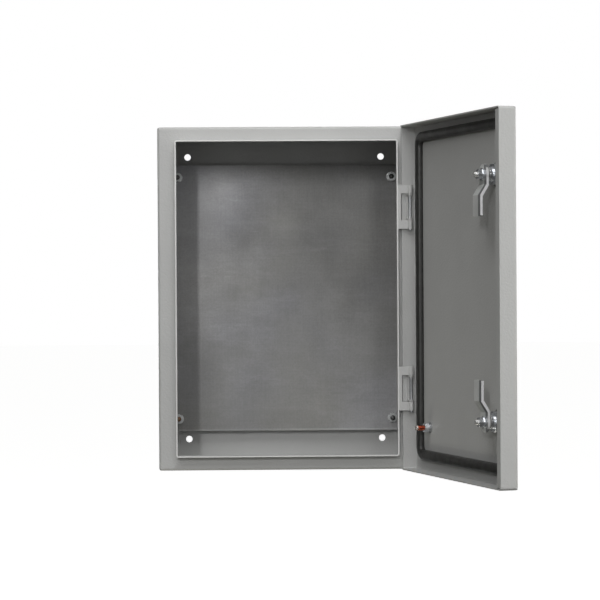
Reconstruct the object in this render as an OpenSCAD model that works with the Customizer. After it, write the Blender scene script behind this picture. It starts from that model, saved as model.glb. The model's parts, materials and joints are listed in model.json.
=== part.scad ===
// Steel wall enclosure with one hinged door, two quarter-turn locks and a mounting plate.
// X runs to the right, Y runs into the wall and Z runs up. The origin is the middle of the
// wall-fixing holes, on the outer face of the back. The door hangs on the right and stands open.

/* [Body] */
// Width of the body
body_w = 300; // [240:5:600]
// Height of the body
body_h = 400; // [340:5:800]
// Depth of the body, from the wall to the gutter face
body_d = 180; // [120:1:300]
// Thickness of the body sheet
sheet = 1.5; // [1.2:0.1:2]
// Outer radius of the folds of the body and the door
fold_r = 3; // [2.4:0.1:4]

/* [Gutter and rim] */
// Width of the gutter at the sides, from the outer face to the outer face of the rim
gutter_side = 20.5; // [18:0.5:24]
// Width of the gutter at the top and the bottom
gutter_end = 16; // [14:0.5:20]
// Height of the rim in front of the gutter face
rim_h = 12.2; // [11.6:0.1:12.6]
// Inner corner radius of the rim
rim_corner_r = 1.5; // [1:0.5:6]

/* [Wall fixing] */
// Distance of a wall hole from the side of the body
wall_inset_side = 30; // [20:1:60]
// Distance of a wall hole from the top or the bottom of the body
wall_inset_end = 25; // [18:1:28]
// Diameter of a wall hole
wall_hole_d = 8; // [6:0.5:9]

/* [Mounting plate] */
// Distance of the mounting plate from the sides of the body
plate_inset_side = 10; // [6:1:20]
// Distance of the mounting plate from the top and the bottom of the body
plate_inset_end = 36; // [34:1:60]
// Thickness of the mounting plate
plate_t = 2; // [1.5:0.1:3]
// Corner radius of the mounting plate
plate_corner_r = 3; // [1:0.5:6]
// Distance of a plate stud from the side of the plate
stud_inset_side = 8; // [8:0.5:20]
// Distance of a plate stud from the top or the bottom of the plate
stud_inset_end = 15; // [9:0.5:30]
// Diameter of the plate studs
stud_d = 6; // [5:0.5:8]
// Length of the spacer sleeves behind the plate
spacer_len = 15; // [8:1:30]
// Thread left free beyond a plate nut
stud_tip = 4; // [2:0.5:10]

/* [Door] */
// Depth of the door pan over its outer faces
door_depth = 20; // [19:0.1:21]
// Gap between the gutter face and the edge of the shut door
door_gap = 1.2; // [1:0.1:1.6]
// Width of the return lip on the lock side of the door
lip_w = 9.5; // [6:0.5:12]
// Angle at which the door stands open
door_open = 106.4; // [0:0.1:110]

/* [Gasket] */
// Width of the foam bead on the door
gasket_w = 12; // [10:0.5:13]
// Gap left between the foam bead and the rim of the shut door
seal_gap = 0.3; // [0.3:0.1:0.8]
// Radius of the bead's rounded shoulders
gasket_shoulder = 2.6; // [1:0.1:2.8]
// Radius of the bead's centre line at the corners
gasket_corner_r = 11; // [8:0.5:16]
// Height of the foamed loop above the centre of the rim
gasket_rise = 2; // [0:0.5:3]

/* [Hinges] */
// Distance of each hinge from the top or the bottom of the body
hinge_inset = 94.5; // [70:0.5:110]
// Distance of the pin axis from the outer face of the door's side
pin_inset = 6.6; // [6.5:0.1:6.8]
// Distance of the pin axis behind the face of the shut door
pin_setback = 10; // [9.9:0.1:10.2]
// Diameter of the hinge pin
pin_d = 3.5; // [3:0.1:3.8]
// Free gap between the two lugs of a hinge
lug_gap = 31; // [24:1:40]
// Height of one lug
lug_h = 10; // [6:0.5:14]
// Radius of the lugs and arms round the pin
knuckle_r = 3; // [2.8:0.1:3.2]
// Thickness of the lugs, from front to back
lug_t = 2.5; // [2:0.1:2.7]
// Thickness of the strip that joins the lugs along the rim
hinge_strip_t = 3.5; // [2:0.1:3.6]
// Thickness of the door bracket's sheet
bracket_t = 2; // [1.5:0.1:2.2]

/* [Locks] */
// Distance of each lock from the top or the bottom of the body
lock_inset_end = 69; // [55:1:80]
// Distance of each lock from the free edge of the door
lock_inset = 48; // [47:0.5:60]
// Diameter of the lock barrel
barrel_d = 16; // [14:0.5:18]
// Depth of the lock barrel behind the face of the door
barrel_len = 12.7; // [12:0.1:14]
// Diameter of the lock head on the outside
lock_head_d = 24; // [22:1:30]
// Thickness of the lock head on the outside
lock_head_t = 4; // [3:0.5:6]
// Thickness of the seal under the lock head
lock_seal_t = 1; // [0.5:0.1:2]
// Diameter of the turning insert
insert_d = 11; // [10:0.5:12]
// Size across the flats of the lock's ring nut
ring_nut_af = 22; // [20:1:26]
// Thickness of the lock's ring nut
ring_nut_t = 6.5; // [4:0.5:7]
// Turn of the cams from upright, which is the unlocked place
cam_turn = 0; // [0:5:90]

/* [Cams] */
// Reach of a cam from the lock axis to its tip
cam_reach = 44.5; // [40:0.5:45]
// Width of a cam
cam_w = 21; // [16:0.5:24]
// Thickness of a cam
cam_t = 2.7; // [2:0.1:3]
// Distance from the lock axis to the start of the cam's crank
crank_start = 12; // [11:0.5:13]
// Length of the cam's crank along the cam
crank_len = 11.5; // [9:0.5:12.5]

/* [Door earth stud] */
// Distance of the earth stud from the hinge edge of the door
earth_inset = 46.7; // [40:0.1:70]
// Distance of the earth stud from the bottom of the door
earth_inset_end = 51; // [46:1:80]
// Diameter of the earth stud
earth_d = 6; // [5:0.5:8]
// Length of the earth stud from the inner face of the door
earth_len = 18; // [14:0.5:24]

/* [Hidden] */
$fn = 96;

// Clearances
cut = 1;
run_fit = 0.05;
thread_fit = 0.05;
hole_fit = 0.5;
lug_fit = 0.5;
swing_gap = 0.6;
barrel_fit = 0.2;
cam_play = 0.5;

// Planes of the body and of the shut door, along Y
gutter_y = -body_d;
door_lip_y = gutter_y - door_gap;
door_face_y = door_lip_y - door_depth;
door_inner_y = door_face_y + sheet;
rim_y = gutter_y - rim_h;
gasket_h = rim_y - seal_gap - door_inner_y;

// Rim, seen from the front
rim_out_w = body_w - 2 * gutter_side;
rim_out_h = body_h - 2 * gutter_end;
rim_in_w = rim_out_w - 2 * sheet;
rim_in_h = rim_out_h - 2 * sheet;

// Places that are measured from the edges of the body
wall_pitch_x = body_w - 2 * wall_inset_side;
wall_pitch_z = body_h - 2 * wall_inset_end;
plate_w = body_w - 2 * plate_inset_side;
plate_h = body_h - 2 * plate_inset_end;
stud_pitch_x = plate_w - 2 * stud_inset_side;
stud_pitch_z = plate_h - 2 * stud_inset_end;
hinge_z = body_h / 2 - hinge_inset;
lock_z = body_h / 2 - lock_inset_end;
earth_drop = body_h / 2 - earth_inset_end;

// Hinge axis, and the reach about it that swings clear of the gutter face
pin_x = body_w / 2 - pin_inset;
pin_y = door_face_y + pin_setback;
pin_end = 2;
sweep_r = gutter_y - pin_y - swing_gap;
hinge_flange_y = pin_y + sqrt(sweep_r * sweep_r - pin_inset * pin_inset);
flange_notch_x = pin_x + sqrt(sweep_r * sweep_r - pow(door_lip_y - pin_y, 2));
lug_span = lug_gap + 2 * lug_h;
strip_back = 2;
arm_back = 3.2;
arm_front = 4.5;

// Fasteners: size across flats, nut height and washer thickness follow the thread
function across_flats(d) = 1.6 * d + 0.4;
function nut_height(d) = 0.83 * d;
function washer_d(d) = 2 * d;
function washer_t(d) = 0.26 * d;

// Mounting plate stack, as distances from the back of the body
plate_back = sheet + spacer_len;
plate_front = plate_back + plate_t;
nut_front = plate_front + washer_t(stud_d) + nut_height(stud_d);

// Lock stack, as distances behind the face of the shut door
lock_washer_t = 1;
lock_washer_d = ring_nut_af * 1.25;
collar_t = 1.5;
collar_step = 1.2;
head_recess = 0.3;
key_depth = 9;
key_pin_d = 3;
key_bore_d = 7.6;
key_bit_w = 3;
key_bit_d = 9.2;
stop_t = 3.2;
stop_d = 15;
stop_at = barrel_len + 2 * run_fit;
cam_at = stop_at + stop_t;
cam_thread_d = 6;
square_w = 7;
cam_washer_at = cam_at + cam_t;
cam_washer_d = 13;
cam_nut_at = cam_washer_at + washer_t(cam_thread_d);
insert_tip = 3.7;
insert_end = cam_nut_at + nut_height(cam_thread_d) + insert_tip;
cam_grip = door_depth + door_gap + sheet + cam_play;
cam_offset = cam_grip - cam_at;
cam_hub_r = cam_w / 2 + 0.5;
cam_corner_r = 1.5;
lock_x = lock_inset - body_w / 2;

// Earth stud stack, as heights above the inner face of the door
earth_x = body_w / 2 - earth_inset;
earth_nut_at = 2 * washer_t(earth_d);

// A rounded rectangle about the origin
module rounded_rect(w, h, r) {
    square([w - 2 * r, h], center = true);
    square([w, h - 2 * r], center = true);
    for (x = [-1, 1])
        for (y = [-1, 1])
            translate([x * (w / 2 - r), y * (h / 2 - r)])
                circle(r = r);
}

// Extrudes a front view from y_back towards the viewer
module forward(y_back, length) {
    translate([0, y_back, 0])
        rotate([90, 0, 0])
            linear_extrude(length)
                children();
}

// The waste of one rounded edge: a bar along X below and behind the edge
module edge_waste(length, r) {
    rotate([90, 0, 90])
        linear_extrude(length, center = true)
            difference() {
                translate([-cut, -r])
                    square([r + cut, r + cut]);
                translate([r, -r])
                    circle(r = r);
            }
}

// A block with rounded long edges and a rounded front edge, as folded sheet has
module folded_block(w, h, y_back, y_front, r) {
    difference() {
        forward(y_back, y_back - y_front)
            rounded_rect(w, h, r);
        for (turn = [0, 90, 180, 270]) {
            edge_z = (turn % 180 == 0 ? h : w) / 2;
            rotate([0, turn, 0])
                translate([0, y_front, edge_z])
                    edge_waste(max(w, h) + cut, r);
        }
    }
}

// Places children at the four corners of a rectangle, seen from the front
module at_corners(pitch_x, pitch_z) {
    for (x = [-1, 1])
        for (z = [-1, 1])
            translate([x * pitch_x / 2, 0, z * pitch_z / 2])
                children();
}

// A tube or rod that starts at y_back and points at the viewer
module rod(y_back, length, d) {
    translate([0, y_back, 0])
        rotate([90, 0, 0])
            cylinder(h = length, d = d);
}

// A hexagon nut or ring nut with chamfered corners, its seat at z = 0
module hex_nut(af, height, bore) {
    corner_r = af / 2 / cos(30);
    difference() {
        intersection() {
            cylinder(h = height, r = corner_r, $fn = 6);
            cylinder(h = height, r1 = corner_r + height - 0.6, r2 = af / 2 + 0.2);
            cylinder(h = height, r = corner_r - 0.1);
        }
        translate([0, 0, -cut])
            cylinder(h = height + 2 * cut, d = bore);
    }
}

// A round washer, its seat at z = 0
module washer(outer, bore, thickness) {
    difference() {
        cylinder(h = thickness, d = outer);
        translate([0, 0, -cut])
            cylinder(h = thickness + 2 * cut, d = bore);
    }
}

// ---- Body ----

module body_shell() {
    color("gainsboro")
        difference() {
            union() {
                difference() {
                    folded_block(body_w, body_h, -sheet, gutter_y, fold_r);
                    folded_block(body_w - 2 * sheet, body_h - 2 * sheet, cut, gutter_y + sheet,
                        fold_r - sheet);
                }
                forward(gutter_y + sheet, rim_h + sheet)
                    rounded_rect(rim_out_w, rim_out_h, rim_corner_r + sheet);
            }
            forward(gutter_y + sheet + cut, rim_h + sheet + 2 * cut)
                rounded_rect(rim_in_w, rim_in_h, rim_corner_r);
        }
}

module back_panel() {
    color("lightgray")
        difference() {
            forward(0, sheet)
                rounded_rect(body_w, body_h, fold_r);
            at_corners(wall_pitch_x, wall_pitch_z)
                rod(cut, sheet + 2 * cut, wall_hole_d);
        }
}

// ---- Mounting plate and its fixings ----

module mounting_plate() {
    color("silver")
        difference() {
            forward(-plate_back, plate_t)
                rounded_rect(plate_w, plate_h, plate_corner_r);
            at_corners(stud_pitch_x, stud_pitch_z)
                rod(-plate_back + cut, plate_t + 2 * cut, stud_d + 2 * hole_fit);
        }
}

module plate_studs() {
    color("peru")
        at_corners(stud_pitch_x, stud_pitch_z)
            rod(-sheet, nut_front + stud_tip - sheet, stud_d);
}

module plate_spacers() {
    color("silver")
        at_corners(stud_pitch_x, stud_pitch_z)
            translate([0, -sheet, 0])
                rotate([90, 0, 0])
                    washer(washer_d(stud_d), stud_d + 2 * hole_fit, spacer_len);
}

module plate_washers() {
    color("silver")
        at_corners(stud_pitch_x, stud_pitch_z)
            translate([0, -plate_front, 0])
                rotate([90, 0, 0])
                    washer(washer_d(stud_d), stud_d + 2 * hole_fit, washer_t(stud_d));
}

module plate_nuts() {
    color("silver")
        at_corners(stud_pitch_x, stud_pitch_z)
            translate([0, -plate_front - washer_t(stud_d), 0])
                rotate([90, 0, 0])
                    hex_nut(across_flats(stud_d), nut_height(stud_d), stud_d + 2 * thread_fit);
}

// ---- Hinges: the half on the rim and the pin ----

module hinge_bracket(z) {
    color("lightgray")
        translate([0, 0, z])
            difference() {
                union() {
                    // Strip against the rim
                    translate([rim_out_w / 2, rim_y, -lug_span / 2])
                        cube([hinge_strip_t, rim_h - strip_back, lug_span]);
                    for (side = [-1, 1])
                        translate([0, 0, side * (lug_gap + lug_h) / 2 - lug_h / 2])
                            hinge_lug();
                }
                translate([pin_x, pin_y, -lug_span])
                    cylinder(h = 2 * lug_span, d = pin_d + thread_fit);
            }
}

// One lug: a flat arm level with the front of the rim, rolled round the pin
module hinge_lug() {
    translate([rim_out_w / 2, rim_y, 0])
        cube([pin_x - rim_out_w / 2, lug_t, lug_h]);
    translate([pin_x, pin_y, 0])
        cylinder(h = lug_h, r = knuckle_r);
}

module hinge_pin(z) {
    color("gainsboro")
        translate([pin_x, pin_y, z - lug_span / 2 - pin_end])
            cylinder(h = lug_span + pin_end, d = pin_d);
}

// ---- Door: modelled shut and swung open about the pins ----

module swung() {
    translate([pin_x, pin_y, 0])
        rotate([0, 0, door_open])
            translate([-pin_x, -pin_y, 0])
                children();
}

module door_panel() {
    color("gainsboro")
        swung()
            difference() {
                union() {
                    difference() {
                        folded_block(body_w, body_h, door_lip_y, door_face_y, fold_r);
                        folded_block(body_w - 2 * sheet, body_h - 2 * sheet, door_lip_y + cut,
                            door_inner_y, fold_r - sheet);
                    }
                    return_lip();
                }
                hinge_side_trim();
                for (z = [-1, 1])
                    translate([lock_x, 0, z * lock_z])
                        rod(door_lip_y, door_depth + cut, barrel_d + 2 * barrel_fit);
            }
}

// What is trimmed off the hinge side of the flanges, so that they swing clear of the gutter
module hinge_side_trim() {
    translate([flange_notch_x, hinge_flange_y, -body_h / 2 - cut])
        cube([body_w, door_lip_y - hinge_flange_y + cut, body_h + 2 * cut]);
}

// The lip that stiffens the lock side, parallel to the face
module return_lip() {
    lip_h = body_h - 2 * fold_r;
    translate([-body_w / 2 + sheet / 2, door_lip_y - sheet, -lip_h / 2])
        cube([lip_w - sheet / 2, sheet, lip_h]);
}

// Cross-section of the foam bead, its seat on the X axis
module bead_profile() {
    flat_w = gasket_w - 2 * gasket_shoulder;
    translate([-gasket_w / 2, 0])
        square([gasket_w, gasket_h - gasket_shoulder]);
    translate([-flat_w / 2, 0])
        square([flat_w, gasket_h]);
    for (side = [-1, 1])
        translate([side * flat_w / 2, gasket_h - gasket_shoulder])
            circle(r = gasket_shoulder);
}

module door_gasket() {
    loop_w = rim_in_w + sheet;
    loop_h = rim_in_h + sheet;
    run_w = loop_w - 2 * gasket_corner_r;
    run_h = loop_h - 2 * gasket_corner_r;
    color("dimgray")
        swung()
            translate([0, door_inner_y, gasket_rise])
                rotate([-90, 0, 0]) {
                    for (side = [-1, 1]) {
                        translate([0, side * loop_h / 2, 0])
                            rotate([90, 0, 90])
                                linear_extrude(run_w, center = true)
                                    bead_profile();
                        translate([side * loop_w / 2, 0, 0])
                            rotate([90, 0, 0])
                                linear_extrude(run_h, center = true)
                                    bead_profile();
                    }
                    for (turn = [0, 90, 180, 270]) {
                        half = turn % 180 == 0 ? [run_w / 2, run_h / 2] : [run_h / 2, run_w / 2];
                        rotate([0, 0, turn])
                            translate([half[0], half[1], 0])
                                rotate_extrude(angle = 90)
                                    translate([gasket_corner_r, 0])
                                        bead_profile();
                    }
                }
}

module door_bracket(z) {
    bracket_h = lug_gap - 2 * lug_fit;
    seat_x = body_w / 2 - sheet;
    color("lightgray")
        swung()
            translate([0, 0, z])
                difference() {
                    union() {
                        translate([seat_x - bracket_t, pin_y - arm_front, -bracket_h / 2])
                            cube([bracket_t, arm_front + arm_back, bracket_h]);
                        for (arm_z = [-bracket_h / 2, bracket_h / 2 - bracket_t])
                            translate([0, 0, arm_z]) {
                                translate([pin_x, pin_y - knuckle_r, 0])
                                    cube([seat_x - pin_x, 2 * knuckle_r, bracket_t]);
                                translate([pin_x, pin_y, 0])
                                    cylinder(h = bracket_t, r = knuckle_r);
                            }
                    }
                    translate([pin_x, pin_y, -bracket_h])
                        cylinder(h = 2 * bracket_h, d = pin_d + 2 * run_fit);
                }
}

// ---- Earth stud on the door ----

// Places children on the inner face of the door, their Z pointing into the body when shut
module at_earth_stud() {
    swung()
        translate([earth_x, door_inner_y, -earth_drop])
            rotate([-90, 0, 0])
                children();
}

module earth_stud() {
    color("peru")
        at_earth_stud()
            cylinder(h = earth_len, d = earth_d);
}

module earth_washer() {
    color("silver")
        at_earth_stud()
            washer(washer_d(earth_d), earth_d + 2 * thread_fit, washer_t(earth_d));
}

module earth_lock_washer() {
    color("silver")
        at_earth_stud()
            translate([0, 0, washer_t(earth_d)])
                washer(washer_d(earth_d) - 1, earth_d + 2 * thread_fit, washer_t(earth_d));
}

module earth_nut() {
    color("silver")
        at_earth_stud()
            translate([0, 0, earth_nut_at])
                hex_nut(across_flats(earth_d), nut_height(earth_d), earth_d + 2 * thread_fit);
}

// ---- Locks: side is 1 for the upper lock and -1 for the lower ----

// Places children on the lock axis, their Z measured from the face of the door
module at_lock(side) {
    swung()
        translate([lock_x, door_face_y, side * lock_z])
            rotate([-90, 0, 0])
                children();
}

// As at_lock, turned so that -Y is the way the upright cam points
module at_cam(side) {
    at_lock(side)
        rotate([0, 0, side > 0 ? 180 + cam_turn : -cam_turn])
            children();
}

module lock_housing(side) {
    head_top = -lock_seal_t - lock_head_t;
    color("silver")
        at_lock(side)
            difference() {
                union() {
                    translate([0, 0, head_top])
                        cylinder(h = 1, d1 = lock_head_d - 2, d2 = lock_head_d);
                    translate([0, 0, head_top + 1])
                        cylinder(h = lock_head_t - 1, d = lock_head_d);
                    translate([0, 0, -lock_seal_t])
                        cylinder(h = barrel_len + lock_seal_t, d = barrel_d);
                }
                translate([0, 0, head_top - cut])
                    cylinder(h = barrel_len - head_top + 2 * cut, d = insert_d + 2 * run_fit);
                translate([0, 0, head_top - cut])
                    cylinder(h = head_recess + collar_t + run_fit + cut,
                        d = insert_d + 2 * collar_step + 2 * run_fit);
            }
}

module lock_seal(side) {
    color("dimgray")
        at_lock(side)
            translate([0, 0, -lock_seal_t])
                washer(lock_head_d - 1.5, barrel_d + 2 * thread_fit, lock_seal_t);
}

module lock_washer(side) {
    color("silver")
        at_lock(side)
            translate([0, 0, sheet])
                washer(lock_washer_d, barrel_d + 2 * barrel_fit, lock_washer_t);
}

module lock_nut(side) {
    color("silver")
        at_lock(side)
            translate([0, 0, sheet + lock_washer_t])
                hex_nut(ring_nut_af, ring_nut_t, barrel_d + 2 * thread_fit);
}

// The insert that the key turns: collar, shank, square for the cam and threaded end
module lock_insert(side) {
    top = -lock_seal_t - lock_head_t + head_recess;
    color("darkgray")
        at_cam(side)
            difference() {
                union() {
                    translate([0, 0, top])
                        cylinder(h = collar_t, d = insert_d + 2 * collar_step);
                    translate([0, 0, top])
                        cylinder(h = stop_at - top, d = insert_d);
                    translate([-square_w / 2, -square_w / 2, stop_at - cut])
                        cube([square_w, square_w, cam_washer_at - stop_at + cut]);
                    translate([0, 0, cam_washer_at - cut])
                        cylinder(h = insert_end - cam_washer_at + cut, d = cam_thread_d);
                }
                // Socket for a double-bit key, round its own middle pin
                difference() {
                    translate([0, 0, top - cut])
                        union() {
                            cylinder(h = key_depth + cut, d = key_bore_d);
                            translate([-key_bit_w / 2, -key_bit_d / 2, 0])
                                cube([key_bit_w, key_bit_d, key_depth + cut]);
                        }
                    translate([0, 0, top])
                        cylinder(h = key_depth + cut, d = key_pin_d);
                }
            }
}

// The square hole that the insert's square turns
module square_hole(z_from, depth) {
    hole_w = square_w + 2 * thread_fit;
    translate([-hole_w / 2, -hole_w / 2, z_from - cut])
        cube([hole_w, hole_w, depth + 2 * cut]);
}

module stop_washer(side) {
    color("silver")
        at_cam(side)
            difference() {
                translate([0, 0, stop_at])
                    cylinder(h = stop_t, d = stop_d);
                square_hole(stop_at, stop_t);
            }
}

// Side view of a cam: flat hub, crank and straight blade
module cam_side_view() {
    crank_end = crank_start + crank_len;
    polygon([
        [-cam_hub_r, 0], [crank_start, 0], [crank_end, cam_offset], [cam_reach, cam_offset],
        [cam_reach, cam_offset + cam_t], [crank_end - cam_t / 2, cam_offset + cam_t],
        [crank_start - cam_t / 2, cam_t], [-cam_hub_r, cam_t]
    ]);
}

// Front view of a cam: round hub end and a blade with eased corners
module cam_front_view() {
    circle(r = cam_hub_r);
    translate([0, -cam_w / 2])
        square([cam_reach - cam_corner_r, cam_w]);
    translate([cam_reach - 2 * cam_corner_r, cam_corner_r - cam_w / 2])
        square([2 * cam_corner_r, cam_w - 2 * cam_corner_r]);
    for (y = [-1, 1])
        translate([cam_reach - cam_corner_r, y * (cam_w / 2 - cam_corner_r)])
            circle(r = cam_corner_r);
}

module cam(side) {
    color("silver")
        at_cam(side)
            rotate([0, 0, -90])
                difference() {
                    intersection() {
                        translate([0, 0, cam_at])
                            rotate([90, 0, 0])
                                linear_extrude(2 * cam_w, center = true)
                                    cam_side_view();
                        translate([0, 0, cam_at - cut])
                            linear_extrude(cam_offset + cam_t + 2 * cut)
                                cam_front_view();
                    }
                    square_hole(cam_at, cam_t);
                }
}

module cam_washer(side) {
    color("silver")
        at_cam(side)
            translate([0, 0, cam_washer_at])
                washer(cam_washer_d, cam_thread_d + 2 * thread_fit, washer_t(cam_thread_d));
}

module cam_nut(side) {
    color("silver")
        at_cam(side)
            translate([0, 0, cam_nut_at])
                hex_nut(across_flats(cam_thread_d), nut_height(cam_thread_d),
                    cam_thread_d + 2 * thread_fit);
}

body_shell();
back_panel();
mounting_plate();
plate_studs();
plate_spacers();
plate_washers();
plate_nuts();
hinge_bracket(hinge_z);  // hinge_bracket_upper
hinge_bracket(-hinge_z);  // hinge_bracket_lower
hinge_pin(hinge_z);  // hinge_pin_upper
hinge_pin(-hinge_z);  // hinge_pin_lower
door_panel();
door_gasket();
door_bracket(hinge_z);  // door_bracket_upper
door_bracket(-hinge_z);  // door_bracket_lower
earth_stud();
earth_washer();
earth_lock_washer();
earth_nut();
lock_housing(1);  // lock_housing_upper
lock_seal(1);  // lock_seal_upper
lock_washer(1);  // lock_washer_upper
lock_nut(1);  // lock_nut_upper
lock_insert(1);  // lock_insert_upper
stop_washer(1);  // stop_washer_upper
cam(1);  // cam_upper
cam_washer(1);  // cam_washer_upper
cam_nut(1);  // cam_nut_upper
lock_housing(-1);  // lock_housing_lower
lock_seal(-1);  // lock_seal_lower
lock_washer(-1);  // lock_washer_lower
lock_nut(-1);  // lock_nut_lower
lock_insert(-1);  // lock_insert_lower
stop_washer(-1);  // stop_washer_lower
cam(-1);  // cam_lower
cam_washer(-1);  // cam_washer_lower
cam_nut(-1);  // cam_nut_lower
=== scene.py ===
"""Looks of the steel wall enclosure: camera, light, materials, and pieces that show more than the solids.

Metres, in the same frame as the solids. The door's pieces are built for the shut door and then opened.
"""
import json
import math

import bmesh
import bpy
from mathutils import Matrix, Vector, noise


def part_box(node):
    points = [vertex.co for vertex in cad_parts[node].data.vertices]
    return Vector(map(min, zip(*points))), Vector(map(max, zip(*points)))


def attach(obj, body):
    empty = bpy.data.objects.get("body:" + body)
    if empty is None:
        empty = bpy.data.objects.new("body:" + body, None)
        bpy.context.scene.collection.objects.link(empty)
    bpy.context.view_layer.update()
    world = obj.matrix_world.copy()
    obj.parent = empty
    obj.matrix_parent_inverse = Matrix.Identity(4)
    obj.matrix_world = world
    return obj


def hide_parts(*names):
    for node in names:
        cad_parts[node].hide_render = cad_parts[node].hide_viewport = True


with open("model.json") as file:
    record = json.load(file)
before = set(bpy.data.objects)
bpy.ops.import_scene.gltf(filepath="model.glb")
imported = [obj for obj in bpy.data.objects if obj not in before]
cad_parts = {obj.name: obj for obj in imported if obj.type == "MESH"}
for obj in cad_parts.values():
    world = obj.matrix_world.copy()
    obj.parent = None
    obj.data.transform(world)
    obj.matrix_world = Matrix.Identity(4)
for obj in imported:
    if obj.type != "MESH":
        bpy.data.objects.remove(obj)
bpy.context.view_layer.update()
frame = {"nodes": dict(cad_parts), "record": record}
NODES = frame["nodes"]
JOINTS = {joint["name"]: joint for joint in frame["record"]["behaviour"]["joints"]}
SIDES = ("upper", "lower")
MM = 0.001
WHITE = (1.0, 1.0, 1.0)

# ---- Camera ----

# Lens and sensor in millimetres, turns in radians
FOCAL_LENGTH = 136.15
SENSOR = 36.0
CAMERA_AT = (-0.0361, -2.824, 0.0125)
CAMERA_YAW = -0.0194
CAMERA_PITCH = -0.0055
CAMERA_ROLL = 0.0062


def make_camera():
    data = bpy.data.cameras.new("camera")
    data.lens = FOCAL_LENGTH
    data.sensor_width = SENSOR
    camera = bpy.data.objects.new("camera", data)
    bpy.context.collection.objects.link(camera)
    turn = Matrix.Rotation(CAMERA_YAW, 4, "Z") @ Matrix.Rotation(CAMERA_PITCH, 4, "X")
    turn = turn @ Matrix.Rotation(CAMERA_ROLL, 4, "Y") @ Matrix.Rotation(math.radians(90), 4, "X")
    camera.matrix_world = Matrix.Translation(CAMERA_AT) @ turn
    bpy.context.scene.camera = camera


# ---- Light, floor and background ----

FLOOR_SIZE = 60
FLOOR_Z = -0.8
FLOOR_GLOW = 0.97
AROUND_STRENGTH = 0.02
AROUND_COLOR = (1.0, 1.0, 0.82)

# Name: place, point aimed at, size, watts and colour
LIGHTS = {
    "key": ((-0.47, -3.0, 0.72), (0.0, -0.1, 0.0), (0.08, 0.46), 15.0, WHITE),
    "key_right": ((0.45, -3.0, 0.68), (0.0, -0.1, 0.0), (0.2, 0.46), 3.5, WHITE),
    "overhead_back": ((0.0, -0.7, 2.4), (0.0, -0.25, 0.0), (2.4, 1.6), 6.9, WHITE),
    "overhead": ((0.0, -1.4, 2.2), (0.0, -0.2, 0.0), (2.4, 0.8), 22.6, WHITE),
    "overhead_front": ((0.0, -2.3, 2.0), (0.0, -0.2, 0.0), (2.4, 0.8), 23.7, WHITE),
    "left": ((-2.6, -0.8, 0.5), (0.0, -0.2, 0.0), (1.2, 2.0), 0.8, (1.0, 0.99, 0.92)),
    "right": ((2.6, -0.9, 0.5), (0.1, -0.3, 0.0), (1.2, 2.0), 34.0, (1.0, 1.0, 0.96)),
    "front": ((0.0, -3.4, 0.2), (0.0, -0.2, 0.0), (2.4, 2.4), 15.2, WHITE),
    "back": ((0.3, 3.0, 1.2), (0.0, 0.0, 0.0), (2.0, 2.0), 70.0, WHITE),
    "back_left": ((-1.9, 2.4, 0.0), (-0.1, 0.0, 0.0), (1.2, 0.3), 26.0, WHITE),
    "back_right": ((2.2, 2.0, 0.6), (0.0, 0.0, 0.0), (1.6, 2.0), 30.0, WHITE),
    "low_left": ((-0.2, -0.29, -0.75), (0.18, -0.33, 0.1), (0.4, 0.12), 0.9, (1.0, 0.98, 0.88)),
    "metal_shine": ((2.1, -2.8, 0.2), (0.2, -0.4, 0.0), (0.9, 1.8), 9.0, WHITE),
}
# Lights that show in shiny surfaces only
SHINE_ONLY = ("metal_shine",)


def area_light(name, at, towards, size, watts, color):
    data = bpy.data.lights.new(name, "AREA")
    data.shape = "RECTANGLE"
    data.size, data.size_y = size
    data.energy = watts
    data.color = color
    light = bpy.data.objects.new(name, data)
    bpy.context.collection.objects.link(light)
    light.location = at
    light.rotation_euler = (Vector(towards) - Vector(at)).to_track_quat("-Z", "Y").to_euler()
    light.visible_diffuse = name not in SHINE_ONLY


def make_world():
    """White behind the object, and a much dimmer light that reaches it from all round."""
    world = bpy.data.worlds.new("studio")
    bpy.context.scene.world = world
    world.use_nodes = True
    tree = world.node_tree
    tree.nodes.clear()
    out = tree.nodes.new("ShaderNodeOutputWorld")
    mix = tree.nodes.new("ShaderNodeMixShader")
    path = tree.nodes.new("ShaderNodeLightPath")
    tree.links.new(path.outputs["Is Camera Ray"], mix.inputs[0])
    for socket, strength, color in ((1, AROUND_STRENGTH, AROUND_COLOR), (2, 1.0, WHITE)):
        background = tree.nodes.new("ShaderNodeBackground")
        background.inputs["Strength"].default_value = strength
        background.inputs["Color"].default_value = (*color, 1.0)
        tree.links.new(background.outputs[0], mix.inputs[socket])
    tree.links.new(mix.outputs[0], out.inputs["Surface"])


def make_floor():
    """A plain floor as white as the background. It sends no light to the object."""
    bpy.ops.mesh.primitive_plane_add(size=FLOOR_SIZE, location=(0, 0, FLOOR_Z))
    floor = bpy.context.object
    floor.name = "studio_floor"
    material = bpy.data.materials.new("studio_floor")
    material.use_nodes = True
    shader = material.node_tree.nodes["Principled BSDF"]
    shader.inputs["Base Color"].default_value = (0.8, 0.8, 0.8, 1.0)
    shader.inputs["Roughness"].default_value = 0.9
    shader.inputs["Emission Color"].default_value = (*WHITE, 1.0)
    shader.inputs["Emission Strength"].default_value = FLOOR_GLOW
    floor.data.materials.append(material)
    floor.visible_diffuse = False
    floor.visible_glossy = False


# ---- Door frame of reference ----

HINGE = JOINTS["door_hinge"]
SHUT_TURN = math.radians(HINGE["range_deg"][0])
PIN = Vector(HINGE["pos_m"])
OPEN = Matrix.Translation(PIN) @ Matrix.Rotation(-SHUT_TURN, 4, "Z") @ Matrix.Translation(-PIN)
SHUT = OPEN.inverted()
# From the door into the body, and along the door to its free edge, for the open door
INWARD = (OPEN.to_3x3() @ Vector((0, 1, 0))).normalized()
TO_FREE_EDGE = OPEN.to_3x3() @ Vector((-1, 0, 0))


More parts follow.
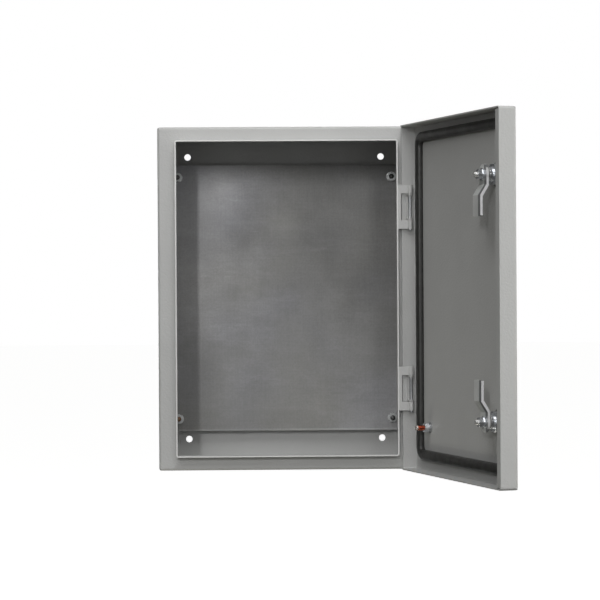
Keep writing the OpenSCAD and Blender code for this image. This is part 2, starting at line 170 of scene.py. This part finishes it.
def shut_box(node):
    """The box of a door's node as it is with the door shut."""
    points = [SHUT @ v.co for v in NODES[node].data.vertices]
    return (Vector([min(p[i] for p in points) for i in range(3)]),
            Vector([max(p[i] for p in points) for i in range(3)]))


def into_body(x, y, z):
    """Turns a piece built along +Z to point from the shut door into the body, and opens the door."""
    return OPEN @ Matrix.Translation((x, y, z)) @ Matrix.Rotation(math.radians(-90), 4, "X")


# ---- Materials ----

class Nodes:
    """A short way to write a material's node tree. Patterns lie fixed in the piece's own frame."""

    def __init__(self, name):
        self.material = bpy.data.materials.new(name)
        self.material.use_nodes = True
        self.tree = self.material.node_tree
        self.shader = self.tree.nodes["Principled BSDF"]
        coordinates = self.add("ShaderNodeTexCoord")
        self.place = coordinates.outputs["Object"]
        self.facing = coordinates.outputs["Normal"]

    def add(self, kind, **fields):
        made = self.tree.nodes.new(kind)
        for key, value in fields.items():
            setattr(made, key, value)
        return made

    def link(self, a, b):
        self.tree.links.new(a, b)

    def finish(self, color, roughness, normal, metallic=0.0):
        """Feeds the shader. Metallic is a number or, where it varies, a socket."""
        self.link(color, self.shader.inputs["Base Color"])
        self.link(roughness, self.shader.inputs["Roughness"])
        self.link(normal, self.shader.inputs["Normal"])
        self.feed(self.shader.inputs["Metallic"], metallic)
        return self.material

    def feed(self, socket, value):
        if isinstance(value, float):
            socket.default_value = value
        else:
            self.link(value, socket)

    def stretched(self, scale):
        mapping = self.add("ShaderNodeMapping")
        mapping.inputs["Scale"].default_value = scale
        self.link(self.place, mapping.inputs["Vector"])
        return mapping.outputs[0]

    def noise(self, scale, detail=3.0, roughness=0.5, vector=None):
        made = self.add("ShaderNodeTexNoise")
        made.inputs["Scale"].default_value = scale
        made.inputs["Detail"].default_value = detail
        made.inputs["Roughness"].default_value = roughness
        self.link(vector or self.place, made.inputs["Vector"])
        return made.outputs["Fac"]

    def cells(self, scale):
        made = self.add("ShaderNodeTexVoronoi")
        made.inputs["Scale"].default_value = scale
        self.link(self.place, made.inputs["Vector"])
        return made.outputs["Distance"]

    def math(self, operation, *values):
        made = self.add("ShaderNodeMath", operation=operation)
        for socket, value in zip(made.inputs, values):
            self.feed(socket, value)
        return made.outputs[0]

    def along(self, vector, direction):
        """How far a vector reaches along a direction."""
        made = self.add("ShaderNodeVectorMath", operation="DOT_PRODUCT")
        self.link(vector, made.inputs[0])
        made.inputs[1].default_value = direction
        return made.outputs["Value"]

    def axis(self, name):
        split = self.add("ShaderNodeSeparateXYZ")
        self.link(self.place, split.inputs[0])
        return split.outputs[name]

    def ramp(self, value, stops):
        made = self.add("ShaderNodeValToRGB")
        first, last = made.color_ramp.elements
        first.position, first.color = stops[0][0], (*stops[0][1], 1.0)
        last.position, last.color = stops[-1][0], (*stops[-1][1], 1.0)
        for at, color in stops[1:-1]:
            made.color_ramp.elements.new(at).color = (*color, 1.0)
        self.link(value, made.inputs["Fac"])
        return made.outputs["Color"]

    def spread(self, value, low, high, from_low=0.3, from_high=0.7):
        """Maps from_low..from_high to low..high, and holds the ends."""
        made = self.add("ShaderNodeMapRange")
        made.inputs["From Min"].default_value = from_low
        made.inputs["From Max"].default_value = from_high
        made.inputs["To Min"].default_value = low
        made.inputs["To Max"].default_value = high
        self.link(value, made.inputs["Value"])
        return made.outputs["Result"]

    def grey(self, value):
        """The same value in red, green and blue."""
        made = self.add("ShaderNodeCombineColor")
        for socket in made.inputs:
            self.link(value, socket)
        return made.outputs["Color"]

    def blend(self, a, b, factor, kind="MIX"):
        made = self.add("ShaderNodeMix", data_type="RGBA", blend_type=kind)
        self.feed(made.inputs[0], factor)
        self.link(a, made.inputs[6])
        self.link(b, made.inputs[7])
        return made.outputs[2]

    def bump(self, height, depth, strength, after=None):
        made = self.add("ShaderNodeBump")
        made.inputs["Strength"].default_value = strength
        made.inputs["Distance"].default_value = depth
        self.link(height, made.inputs["Height"])
        if after:
            self.link(after, made.inputs["Normal"])
        return made.outputs["Normal"]


def greys(*stops):
    """Colour stops for a ramp of plain greys."""
    return [(at, (value, value, value)) for at, value in stops]


def two_tones(low, high):
    """Colour stops between two colours, over the middle of a noise's range."""
    return [(0.3, low), (0.7, high)]


# Paler coat for the rim's front edge: partly a thinner coat on the sheared edge, partly a painted highlight
THIN_COAT_AND_HIGHLIGHT = two_tones((0.66, 0.66, 0.65), (0.74, 0.74, 0.73))
# Depth behind the rim's front edge over which its paler coat fades out: partly a thinner coat, partly a
# painted highlight
THIN_COAT_AND_HIGHLIGHT_FROM = 0.4 * MM
THIN_COAT_AND_HIGHLIGHT_TO = 1.2 * MM


def powder_coat(name, low, high, grain=1.0, rim_thin_coat_and_highlight=False):
    """Satin light grey powder coat: a fine orange peel over a slow swell, and a faint drift of colour.

    When asked to, it paints the front edge of the body's rim paler: partly a thinner coat, partly a painted
    highlight where the rounded edge catches light.
    """
    m = Nodes(name)
    drift = m.noise(scale=9.0, detail=4.0)
    color = m.ramp(drift, two_tones(low, high))
    # Painted highlight, with a thinner coat: the rim's front edge is made paler
    if rim_thin_coat_and_highlight:
        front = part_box("body_shell")[0][1]
        thin_coat_and_highlight_mask = m.spread(m.axis("Y"), 1.0, 0.0, front + THIN_COAT_AND_HIGHLIGHT_FROM, front + THIN_COAT_AND_HIGHLIGHT_TO)
        color = m.blend(color, m.ramp(drift, THIN_COAT_AND_HIGHLIGHT), thin_coat_and_highlight_mask)
    peel = m.bump(m.noise(scale=420.0, detail=2.0), depth=0.45 * MM * grain, strength=0.6)
    swell = m.bump(m.noise(scale=110.0, detail=2.0), depth=0.3 * MM * grain, strength=0.35, after=peel)
    return m.finish(color, m.spread(m.noise(scale=26.0), 0.42, 0.54), swell)


# Painted light falloff: above this height the sheet's colour is painted brighter to the left and duller to
# the right, as a lamp on the upper left lights it; below it the reverse
LIGHT_FALLOFF_FROM_Z = -0.08
LIGHT_FALLOFF_GAIN = -20.0
# Height above the plate's bottom edge over which its painted highlight line fades out, and how bright the
# line is
PLATE_HIGHLIGHT_FROM = 1.6 * MM
PLATE_HIGHLIGHT_TO = 2.6 * MM
PLATE_HIGHLIGHT_GAIN = 1.30


def galvanised_sheet():
    """Galvanised sheet: clouds under a painted light falloff, fine rolling lines both ways, smears, small
    bright scuffs and a painted highlight along the bottom edge.
    """
    m = Nodes("galvanised_sheet")
    # Painted light: a brightness falloff across the sheet, lighter towards the upper left
    height = m.math("ADD", m.axis("Z"), -LIGHT_FALLOFF_FROM_Z)
    painted_light_falloff = m.math("MULTIPLY", m.math("MULTIPLY", m.axis("X"), height), LIGHT_FALLOFF_GAIN)
    drift = m.noise(scale=11.0, detail=6.0, roughness=0.62, vector=m.stretched((1.0, 1.0, 1.5)))
    clouds_and_light_falloff = m.math("ADD", m.spread(drift, 0.38, 0.62), painted_light_falloff)
    tint = m.noise(scale=7.0, detail=2.0)
    tall = m.noise(scale=40.0, detail=4.0, roughness=0.65, vector=m.stretched((22.0, 22.0, 0.5)))
    wide = m.noise(scale=40.0, detail=4.0, roughness=0.65, vector=m.stretched((0.5, 1.0, 16.0)))
    scuff = m.noise(scale=30.0, detail=5.0, roughness=0.7, vector=m.stretched((0.7, 1.0, 3.2)))
    smear = m.noise(scale=9.0, detail=5.0, roughness=0.55, vector=m.stretched((0.9, 1.0, 4.5)))
    grain = m.noise(scale=520.0, detail=2.0)
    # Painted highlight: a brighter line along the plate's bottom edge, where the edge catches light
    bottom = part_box("mounting_plate")[0][2]
    bottom_edge_highlight = m.spread(m.axis("Z"), PLATE_HIGHLIGHT_GAIN, 1.0, bottom + PLATE_HIGHLIGHT_FROM, bottom + PLATE_HIGHLIGHT_TO)
    color = m.ramp(clouds_and_light_falloff, [(0.30, (0.200, 0.200, 0.197)), (0.5, (0.237, 0.237, 0.237)),
                            (0.82, (0.352, 0.353, 0.368))])
    for layer in (m.ramp(tint, [(0.35, (1.0, 0.99, 0.95)), (0.65, (0.985, 0.985, 1.0))]),
                  m.ramp(tall, greys((0.3, 0.95), (0.7, 1.03))),
                  m.ramp(wide, greys((0.3, 0.96), (0.7, 1.02))),
                  m.ramp(scuff, [(0.62, WHITE), (0.76, (1.22, 1.22, 1.23))]),
                  m.ramp(smear, [(0.54, WHITE), (0.62, (1.065, 1.065, 1.07)), (0.66, WHITE)]),
                  m.ramp(grain, greys((0.3, 0.94), (0.7, 1.06))),
                  m.grey(bottom_edge_highlight)):
        color = m.blend(color, layer, 1.0, "MULTIPLY")
    lines = m.bump(tall, depth=0.03 * MM, strength=0.3)
    lines = m.bump(wide, depth=0.03 * MM, strength=0.3, after=lines)
    return m.finish(color, m.spread(m.noise(scale=16.0, detail=4.0), 0.46, 0.58), lines, 0.5)


def plated(name, low, high, rough, metallic=1.0):
    """Plated metal: a clear shine with fine uneven spots."""
    m = Nodes(name)
    color = m.ramp(m.noise(scale=90.0, detail=2.0), two_tones(low, high))
    pits = m.bump(m.noise(scale=900.0, detail=2.0), depth=0.01 * MM, strength=0.1)
    return m.finish(color, m.spread(m.noise(scale=180.0, detail=2.0), *rough), pits, metallic)


# How far behind a cam's front edge its painted shade band starts, and where it is full
SHADE_BAND_FROM = 7.5 * MM
SHADE_BAND_FULL = 6.5 * MM


def cam_steel():
    """Nickelled strip: pale faces, a painted dark band of shade along the front edge, and pale matt sheared
    edges.
    """
    m = Nodes("cam_steel")
    edge = m.math("ABSOLUTE", m.along(m.facing, TO_FREE_EDGE))
    edge = m.spread(edge, 0.0, 1.0, 0.75, 0.95)
    spots = m.noise(scale=90.0, detail=2.0)
    color = m.blend(m.ramp(spots, two_tones((0.72, 0.73, 0.72), (0.80, 0.81, 0.80))),
                    m.ramp(spots, two_tones((0.76, 0.76, 0.77), (0.84, 0.84, 0.85))), edge)
    # Painted shade: the faces darken along the blade's front, standing in for the darker reflection near
    # its rounded edge
    front = max(v.co.dot(TO_FREE_EDGE) for v in NODES["cam_upper"].data.vertices)
    shade_band = m.spread(m.along(m.place, TO_FREE_EDGE), 0.0, 1.0, front - SHADE_BAND_FROM, front - SHADE_BAND_FULL)
    shade_band = m.math("MULTIPLY", shade_band, m.spread(edge, 1.0, 0.0, 0.0, 0.3))
    color = m.blend(color, m.ramp(spots, two_tones((0.20, 0.205, 0.21), (0.27, 0.275, 0.28))), shade_band)
    pits = m.bump(m.noise(scale=500.0, detail=2.0), depth=0.01 * MM, strength=0.05)
    roughness = m.spread(m.noise(scale=60.0, detail=2.0), 0.34, 0.42)
    return m.finish(color, roughness, pits, m.spread(edge, 0.35, 0.15, 0.0, 1.0))


def foam_skin():
    """Poured foam: dark skin with a fine grain and scattered closed pores."""
    m = Nodes("foam_skin")
    skin = m.noise(scale=160.0, detail=5.0, roughness=0.6)
    color = m.ramp(skin, two_tones((0.020, 0.020, 0.019), (0.034, 0.034, 0.032)))
    pores = m.bump(m.cells(scale=1100.0), depth=0.12 * MM, strength=0.5)
    grain = m.bump(m.noise(scale=240.0), depth=0.25 * MM, strength=0.4, after=pores)
    return m.finish(color, m.spread(m.noise(scale=90.0), 0.34, 0.46), grain)


def seal_rubber():
    """Dull black rubber with a fine grain."""
    m = Nodes("seal_rubber")
    color = m.ramp(m.noise(scale=300.0), two_tones((0.015, 0.015, 0.015), (0.026, 0.026, 0.026)))
    grain = m.bump(m.noise(scale=900.0, detail=2.0), depth=0.03 * MM, strength=0.4)
    return m.finish(color, m.spread(m.noise(scale=200.0), 0.5, 0.65), grain)


COAT_LOW = (0.446, 0.448, 0.442)
COAT_HIGH = (0.479, 0.481, 0.474)

COAT = powder_coat("powder_coat", COAT_LOW, COAT_HIGH)
BODY_COAT = powder_coat("powder_coat_body", COAT_LOW, COAT_HIGH, rim_thin_coat_and_highlight=True)
COAT_THICK = powder_coat("powder_coat_thick", (0.452, 0.454, 0.448), (0.484, 0.486, 0.479), grain=1.2)
GALVANISED = galvanised_sheet()
CHROME = plated("bright_zinc", (0.66, 0.68, 0.71), (0.80, 0.82, 0.85), (0.16, 0.28), metallic=0.8)
ZINC = plated("dull_zinc", (0.40, 0.41, 0.42), (0.52, 0.53, 0.55), (0.28, 0.42))
COPPER = plated("coppered_steel", (0.30, 0.060, 0.030), (0.46, 0.115, 0.06), (0.26, 0.40))
DULL_COPPER = plated("dull_copper", (0.13, 0.085, 0.055), (0.24, 0.15, 0.095), (0.32, 0.48))
CAM_STEEL = cam_steel()
NICKEL = plated("nickelled_steel", (0.76, 0.76, 0.75), (0.82, 0.82, 0.81), (0.22, 0.28), metallic=0.75)
PASSIVATED = plated("passivated_zinc", (0.42, 0.43, 0.43), (0.56, 0.57, 0.57), (0.25, 0.38), metallic=0.6)
BRIGHT_TIP = plated("bright_tip", (0.62, 0.56, 0.52), (0.80, 0.76, 0.72), (0.18, 0.30), metallic=0.8)
# Dark steel; on three of the plate studs it is painted shade in place of their copper
DARK = plated("dark_steel_and_painted_shade", (0.10, 0.10, 0.10), (0.16, 0.16, 0.155), (0.35, 0.5))
FOAM = foam_skin()
RUBBER = seal_rubber()


# ---- Making pieces ----

def piece(name, points, faces, body, material):
    """A smooth piece of mesh that rides on a body."""
    mesh = bpy.data.meshes.new(name)
    mesh.from_pydata([tuple(p) for p in points], [], faces)
    mesh.validate()
    mesh.update()
    for face in mesh.polygons:
        face.use_smooth = True
    mesh.materials.append(material)
    made = bpy.data.objects.new(name, mesh)
    bpy.context.collection.objects.link(made)
    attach(made, body)
    return made


def second_material(made, material, chosen):
    """Gives a second material to the faces that chosen picks."""
    made.data.materials.append(material)
    for face in made.data.polygons:
        if chosen(face):
            face.material_index = 1


def grid_faces(rows, columns, closed):
    """Quads over a grid of points, each row running round."""
    faces = []
    for i in range(rows if closed else rows - 1):
        for j in range(columns):
            a, b = i % rows, (i + 1) % rows
            k = (j + 1) % columns
            faces.append((a * columns + j, a * columns + k, b * columns + k, b * columns + j))
    return faces


THREAD_PITCH = 1.0 * MM
THREAD_DEPTH = 0.58 * THREAD_PITCH
THREAD_CHAMFER = 0.7 * MM
THREAD_COLUMNS = 36
THREAD_ROWS_PER_TURN = 8


def threaded_rod(radius, start, end):
    """Points and faces of a threaded rod along Z. The crests are at radius."""
    rows = int((end - start) / THREAD_PITCH * THREAD_ROWS_PER_TURN)
    points = []
    for i in range(rows + 1):
        z = start + (end - start) * i / rows
        for j in range(THREAD_COLUMNS):
            turn = j / THREAD_COLUMNS
            wave = (z / THREAD_PITCH - turn) % 1.0
            r = radius - THREAD_DEPTH * (1.0 - abs(2.0 * wave - 1.0))
            r = min(r, radius - THREAD_CHAMFER + max(0.0, end - z))
            points.append((r * math.cos(turn * math.tau), r * math.sin(turn * math.tau), z))
    faces = grid_faces(rows + 1, THREAD_COLUMNS, False)
    faces.append(tuple(range(THREAD_COLUMNS - 1, -1, -1)))
    faces.append(tuple(rows * THREAD_COLUMNS + j for j in range(THREAD_COLUMNS)))
    return points, faces


# ---- Gasket ----

GASKET_LOW, GASKET_HIGH = shut_box("door_gasket")
BEAD_W = 12 * MM
BEAD_CORNER = 11 * MM
CORNER_STEPS = 16
SIDE_STEPS = 90
BEAD_COLUMNS = 28
# The dome's section: how square it is, the upright foot's share of its height, and how full its crown is
DOME_SQUARE = 0.7
DOME_FOOT = 0.34
DOME_FULL = 0.75
# Unevenness of the pour, as shares of the bead's width and height
WIDTH_MIDDLE = 0.975
WIDTH_SWING = 0.025
HEIGHT_MIDDLE = 0.955
HEIGHT_SWING = 0.03
# Waves of the width to a metre, and the height's as a multiple of them in another part of the noise
POUR_WAVES = 30
HEIGHT_WAVES = 1.7
HEIGHT_SHIFT = Vector((7, 0, 0))


def on_corner(quarter, turn, half_w, half_h):
    """The point of a rounded corner that faces a turn. Corner 0 is the upper one on +X."""
    side_x = 1 if quarter % 4 in (0, 3) else -1
    side_z = 1 if quarter % 4 in (0, 1) else -1
    return (side_x * (half_w - BEAD_CORNER) + BEAD_CORNER * math.cos(turn),
            side_z * (half_h - BEAD_CORNER) + BEAD_CORNER * math.sin(turn))


def bead_path(half_w, half_h):
    """Points round the bead's centre line as x, z and the turn that faces outwards."""
    path = []
    for quarter in range(4):
        angle = quarter * math.pi / 2
        for i in range(CORNER_STEPS + 1):
            turn = angle + i / CORNER_STEPS * math.pi / 2
            path.append((*on_corner(quarter, turn, half_w, half_h), turn))
        start_x, start_z, turn = path[-1]
        end_x, end_z = on_corner(quarter + 1, turn, half_w, half_h)
        for i in range(1, SIDE_STEPS):
            f = i / SIDE_STEPS
            path.append((start_x + (end_x - start_x) * f, start_z + (end_z - start_z) * f, turn))
    return path


def make_gasket():
    """The poured foam bead: a low dome on a flat foot, a little uneven in width and height."""
    seat = GASKET_LOW.y
    tall = GASKET_HIGH.y - seat
    middle_z = (GASKET_HIGH.z + GASKET_LOW.z) / 2
    path = bead_path((GASKET_HIGH.x - GASKET_LOW.x - BEAD_W) / 2,
                     (GASKET_HIGH.z - GASKET_LOW.z - BEAD_W) / 2)
    points = []
    for x, z, turn in path:
        here = Vector((x * POUR_WAVES, z * POUR_WAVES, 0))
        wide = BEAD_W / 2 * (WIDTH_MIDDLE + WIDTH_SWING * noise.noise(here))
        high = tall * (HEIGHT_MIDDLE + HEIGHT_SWING * noise.noise(here * HEIGHT_WAVES + HEIGHT_SHIFT))
        for j in range(BEAD_COLUMNS):
            a = j / BEAD_COLUMNS * math.tau
            across = math.copysign(abs(math.cos(a)) ** DOME_SQUARE, math.cos(a)) * wide
            up = 0.0
            if math.sin(a) >= 0:
                up = DOME_FOOT + (1 - DOME_FOOT) * math.sin(a) ** DOME_FULL
            points.append((x + across * math.cos(turn), seat + up * high,
                           middle_z + z + across * math.sin(turn)))
    made = piece("foam_bead", [OPEN @ Vector(p) for p in points], grid_faces(len(path), BEAD_COLUMNS, True),
                 "door", FOAM)
    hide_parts("door_gasket")


# ---- Threads ----

# Radii of the M6 threads
STUD_R = 3 * MM
CAM_THREAD_R = 3 * MM
# How far below a nut's top the real thread starts, and the length of the earth stud's bright tip, partly
# worn bare and partly a painted highlight
THREAD_START = 1.0 * MM
WORN_AND_HIGHLIGHT_TIP = 2.2 * MM


def threaded_copy(name, node, ends, inward, start, radius, material, body):
    """A copy of a node whose plain tips, beyond start, are cut off and set with real threads.

    ends are points on the rods' axes, inward is their direction, and start is measured from ends along it.
    """
    work = bmesh.new()
    work.from_mesh(NODES[node].data)
    far = max(v.co.dot(inward) for v in work.verts)
    level = ends[0].dot(inward) + start
    everything = work.verts[:] + work.edges[:] + work.faces[:]
    bmesh.ops.bisect_plane(work, geom=everything, plane_co=inward * level, plane_no=inward,
                           clear_outer=True)
    mesh = bpy.data.meshes.new(name)
    work.to_mesh(mesh)
    work.free()
    points = [v.co.copy() for v in mesh.vertices]
    faces = [tuple(p.vertices) for p in mesh.polygons]
    plain_faces = len(faces)
    turn = inward.to_track_quat("Z", "Y").to_matrix().to_4x4()
    for end in ends:
        rod_points, rod_faces = threaded_rod(radius, start, far - end.dot(inward))
        at = Matrix.Translation(end) @ turn
        first = len(points)
        points += [at @ Vector(p) for p in rod_points]
        faces += [tuple(first + i for i in face) for face in rod_faces]
    made = piece(name, points, faces, body, material)
    for face in made.data.polygons[:plain_faces]:
        face.use_smooth = False
    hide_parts(node)
    return made


def make_earth_stud():
    """The earth stud, threaded all along, with a bright tip: partly worn bare, partly a painted highlight.
    """
    low, high = shut_box("earth_stud")
    length = high.y - low.y
    points, faces = threaded_rod((high.x - low.x) / 2, 0, length)
    at = into_body((low.x + high.x) / 2, low.y, (low.z + high.z) / 2)
    made = piece("earth_stud_thread", [at @ Vector(p) for p in points], faces,
                 "door", COPPER)

    def at_tip(face):
        return sum(points[i][2] for i in face.vertices) / len(face.vertices) > length - WORN_AND_HIGHLIGHT_TIP

    # The tip's paler material is partly wear and partly a painted highlight
    second_material(made, BRIGHT_TIP, at_tip)
    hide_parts("earth_stud")


def make_plate_studs():
    """The studs through the plate, all coppered. The lower left one shows its copper; the other three are
    given a dark material as painted shade.
    """
    low, high = (Vector(corner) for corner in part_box("plate_studs"))
    nut_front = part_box("plate_nuts")[0][1]
    ends = [Vector((x, 0, z))
            for x in (low.x + STUD_R, high.x - STUD_R)
            for z in (low.z + STUD_R, high.z - STUD_R)]
    made = threaded_copy("plate_stud_threads", "plate_studs", ends, Vector((0, -1, 0)),
                         -nut_front - THREAD_START, STUD_R, DULL_COPPER, "cabinet")
    # Painted shade: the studs other than the lower left one get the dark material for the shadow they stand
    # in
    second_material(made, DARK, lambda face: face.center.x > 0 or face.center.z > 0)


def make_insert_threads():
    """The lock inserts, with threaded tips that stand out of the cam nuts."""
    for side in SIDES:
        end = Vector(JOINTS[side + "_cam_turn"]["pos_m"])
        nut = NODES["cam_nut_" + side].data
        nut_top = max(v.co.dot(INWARD) for v in nut.vertices) - end.dot(INWARD)
        threaded_copy("lock_insert_thread_" + side, "lock_insert_" + side, [end], INWARD,
                      nut_top - THREAD_START, CAM_THREAD_R, NICKEL, side + "_cam")


# ---- Finish and edges of the CAD nodes ----

FINISH = {
    "body_shell": BODY_COAT, "back_panel": COAT, "door_panel": COAT,
    "hinge_bracket_upper": COAT_THICK, "hinge_bracket_lower": COAT_THICK,
    "door_bracket_upper": COAT_THICK, "door_bracket_lower": COAT_THICK,
    "mounting_plate": GALVANISED, "plate_studs": DULL_COPPER, "plate_spacers": ZINC,
    "plate_washers": PASSIVATED, "plate_nuts": PASSIVATED,
    "hinge_pin_upper": ZINC, "hinge_pin_lower": ZINC,
    "earth_stud": COPPER, "earth_washer": ZINC, "earth_lock_washer": ZINC, "earth_nut": CHROME,
    "door_gasket": FOAM,
}
# The same for each of the two locks
LOCK_FINISH = {
    "lock_housing": CHROME, "lock_seal": RUBBER, "lock_washer": DARK, "lock_nut": CHROME,
    "lock_insert": NICKEL, "stop_washer": NICKEL, "cam": CAM_STEEL, "cam_washer": CHROME, "cam_nut": CHROME,
}

# Width that is rounded off the edges, in millimetres, for the nodes that differ from the small ones
EDGES = {
    "body_shell": 0.6, "back_panel": 0.3, "door_panel": 0.45, "mounting_plate": 1.0,
    "cam_upper": 1.0, "cam_lower": 1.0,
}
SMALL_EDGE = 0.25
EDGE_SEGMENTS = 4
SMALL_EDGE_SEGMENTS = 2
EDGE_ANGLE = math.radians(40)
# Soft nodes, and nodes that a threaded piece stands for
NOT_ROUNDED = ("door_gasket", "lock_seal", "earth_stud", "plate_studs", "lock_insert")


def finish_nodes():
    """Gives each node its material."""
    finish = dict(FINISH)
    for side in SIDES:
        finish.update((base + "_" + side, material) for base, material in LOCK_FINISH.items())
    for name, material in finish.items():
        for slot in NODES[name].material_slots:
            slot.material = material


def round_edges():
    """Rounded sheet edges and nut corners, which catch the light."""
    for name, node in NODES.items():
        if name.startswith(NOT_ROUNDED):
            continue
        bevel = node.modifiers.new("edges", "BEVEL")
        bevel.width = EDGES.get(name, SMALL_EDGE) * MM
        bevel.segments = EDGE_SEGMENTS if name in EDGES else SMALL_EDGE_SEGMENTS
        bevel.limit_method = "ANGLE"
        bevel.angle_limit = EDGE_ANGLE
        bevel.harden_normals = True


bpy.context.scene.view_settings.view_transform = "Standard"
make_camera()
make_world()
make_floor()
for name, settings in LIGHTS.items():
    area_light(name, *settings)
finish_nodes()
round_edges()
make_gasket()
make_earth_stud()
make_plate_studs()
make_insert_threads()
